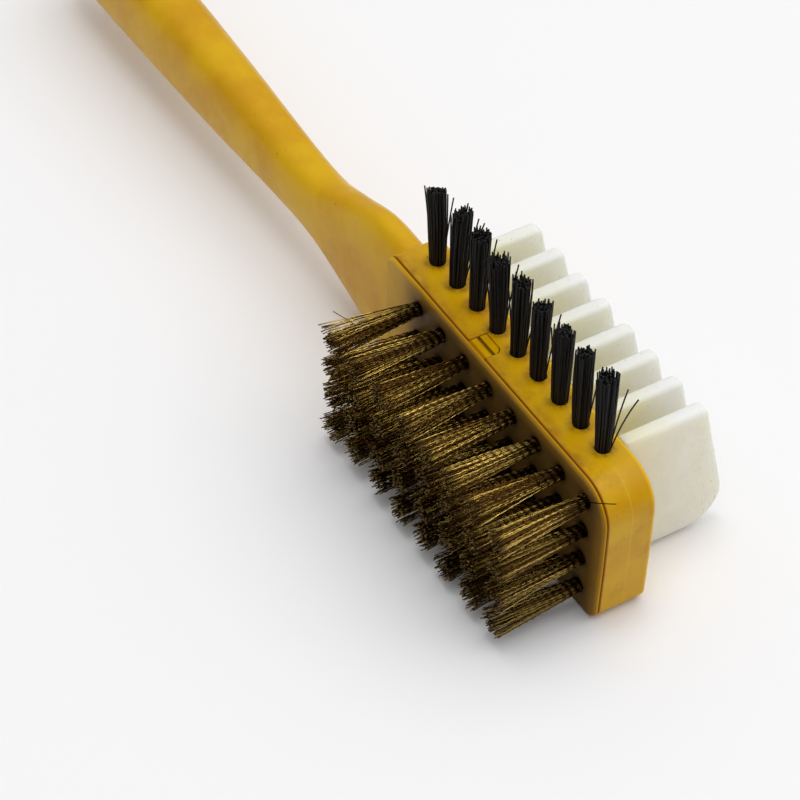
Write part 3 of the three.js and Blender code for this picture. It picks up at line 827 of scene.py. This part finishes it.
def brass_wire():
    """Brass of mixed brightness, darker at the wires' roots and at their tips, and darker low down as painted
    shade.
    """
    look = Look("brass_wire")
    shade = look.node("ShaderNodeAttribute", attribute_name="shade").outputs["Fac"]
    _, y, z = look.axes()
    patches = look.noise(700, 4, 0.65)
    colour = look.mix(look.range(shade, 0.3, 0.9), rgb(92, 62, 26), rgb(255, 220, 116))
    colour = look.mix(look.range(patches, 0.45, 0.75, 0, 0.75), colour, rgb(120, 82, 34))
    base = look.range(y, -12.5 * MM, -6 * MM, 0, 0.85)
    tip = look.range(y, -21.4 * MM, -19.2 * MM, 0.8, 0)
    # Painted shade: the wires grow darker towards the floor, on the lower tufts.
    low = look.range(z, 1 * MM, 19 * MM, 0.7, 0)
    dark = look.sum("MAXIMUM", look.sum("MAXIMUM", base, tip), low)
    colour = look.mix(dark, colour, rgb(60, 40, 20))
    look.set(Base_Color=colour, Metallic=1.0, Roughness=look.range(patches, 0.3, 0.7, 0.17, 0.32))
    look.bump(look.noise(3000, 2), 0.15, 0.00002)
    return look.material


def anchor_steel():
    look = Look("anchor_wire")
    streaks = look.noise(1800, 4, 0.6, look.stretched(1, 1, 8))
    colour = look.mix(streaks, rgb(150, 150, 148), rgb(196, 195, 190))
    look.set(Base_Color=colour, Metallic=1.0, Roughness=look.range(streaks, 0.3, 0.7, 0.3, 0.5))
    look.bump(streaks, 0.2, 0.00002)
    return look.material


def pale_floor():
    look = Look("floor")
    clouds = look.noise(4, 2)
    look.set(Base_Color=look.mix(clouds, rgb(245, 244, 245), rgb(249, 248, 248)), Roughness=0.6)
    return look.material


def dress(piece, material):
    piece.data.materials.clear()
    piece.data.materials.append(material)


# ---------------------------------------------------------------- the object

body_look = body_plastic()
plate_look = plate_plastic()
rubber_look = white_rubber()
nylon_look = black_nylon()
brass_look = brass_wire()
steel_look = anchor_steel()

dress(make_body(), body_look)
dress(make_plate(), plate_look)
dress(make_comb(), rubber_look)
for number, place in enumerate(NYLON_PLACES, 1):
    dress(nylon_tuft(number, place), nylon_look)
    dress(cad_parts[f"nylon_anchor_{number}"], steel_look)
for row in range(BRASS_ROWS):
    for column in range(BRASS_COLUMNS):
        dress(brass_tuft(row, column), brass_look)


# ---------------------------------------------------------------- floor, light and camera

def make_floor():
    half = FLOOR_WIDTH / 2
    corners = [(-half, -half, 0), (half, -half, 0), (half, half, 0), (-half, half, 0)]
    mesh = bpy.data.meshes.new("floor")
    mesh.from_pydata(corners, [], [(0, 1, 2, 3)])
    floor = bpy.data.objects.new("floor", mesh)
    bpy.context.scene.collection.objects.link(floor)
    dress(floor, pale_floor())


def area_light(name, towards, distance, size, power):
    """A square softbox in the given direction from the head, facing it."""
    data = bpy.data.lights.new(name, "AREA")
    data.shape = "SQUARE"
    data.size = size
    data.energy = power
    light = bpy.data.objects.new(name, data)
    direction = Vector(towards).normalized()
    light.location = HEAD_CENTRE + direction * distance
    light.rotation_mode = "QUATERNION"
    light.rotation_quaternion = direction.to_track_quat("Z", "Y")
    bpy.context.scene.collection.objects.link(light)


def make_world(level, above):
    """Even studio light that grows from the horizon to straight above."""
    world = bpy.data.worlds.new("studio")
    world.use_nodes = True
    nodes, links = world.node_tree.nodes, world.node_tree.links
    split = nodes.new("ShaderNodeSeparateXYZ")
    links.new(nodes.new("ShaderNodeTexCoord").outputs["Generated"], split.inputs["Vector"])
    height = nodes.new("ShaderNodeMapRange")
    links.new(split.outputs["Z"], height.inputs["Value"])
    height.inputs["To Min"].default_value = level
    height.inputs["To Max"].default_value = above
    background = nodes["Background"]
    background.inputs["Color"].default_value = (0.97, 0.985, 1.0, 1)
    links.new(height.outputs["Result"], background.inputs["Strength"])
    bpy.context.scene.world = world


def make_camera(azimuth, elevation, distance, aim, roll, lens):
    """A camera at the given direction and distance from the head's centre, aimed at a point, then rolled."""
    a, e = math.radians(azimuth), math.radians(elevation)
    direction = Vector((math.cos(e) * math.cos(a), math.cos(e) * math.sin(a), math.sin(e)))
    data = bpy.data.cameras.new("camera")
    data.sensor_width = 36
    data.lens = lens
    data.clip_start, data.clip_end = 0.01, 20
    camera = bpy.data.objects.new("camera", data)
    bpy.context.scene.collection.objects.link(camera)
    place = HEAD_CENTRE + direction * distance
    back = (place - Vector(aim)).normalized()
    level = Vector((0, 0, 1)).cross(back).normalized()
    upright = back.cross(level)
    r = math.radians(roll)
    right = level * math.cos(r) - upright * math.sin(r)
    up = level * math.sin(r) + upright * math.cos(r)
    camera.matrix_world = Matrix.Translation(place) @ Matrix((right, up, back)).transposed().to_4x4()
    bpy.context.scene.camera = camera


FLOOR_WIDTH = 6.0
HEAD_CENTRE = Vector((-1.175, NYLON_Y, 10.8)) * MM

make_floor()
make_world(level=0.09, above=0.89)
area_light("key", towards=(0.10, 0.55, 0.9), distance=1.2, size=1.3, power=5.3)
area_light("top", towards=(-0.1, -0.05, 1.0), distance=1.2, size=0.4, power=2.7)
make_camera(
    azimuth=-35.373,
    elevation=45.939,
    distance=0.556,
    aim=(-0.0362, 0.00136, -0.0132),
    roll=-1.8,
    lens=156.15,
)
bpy.context.scene.view_settings.view_transform = "Standard"
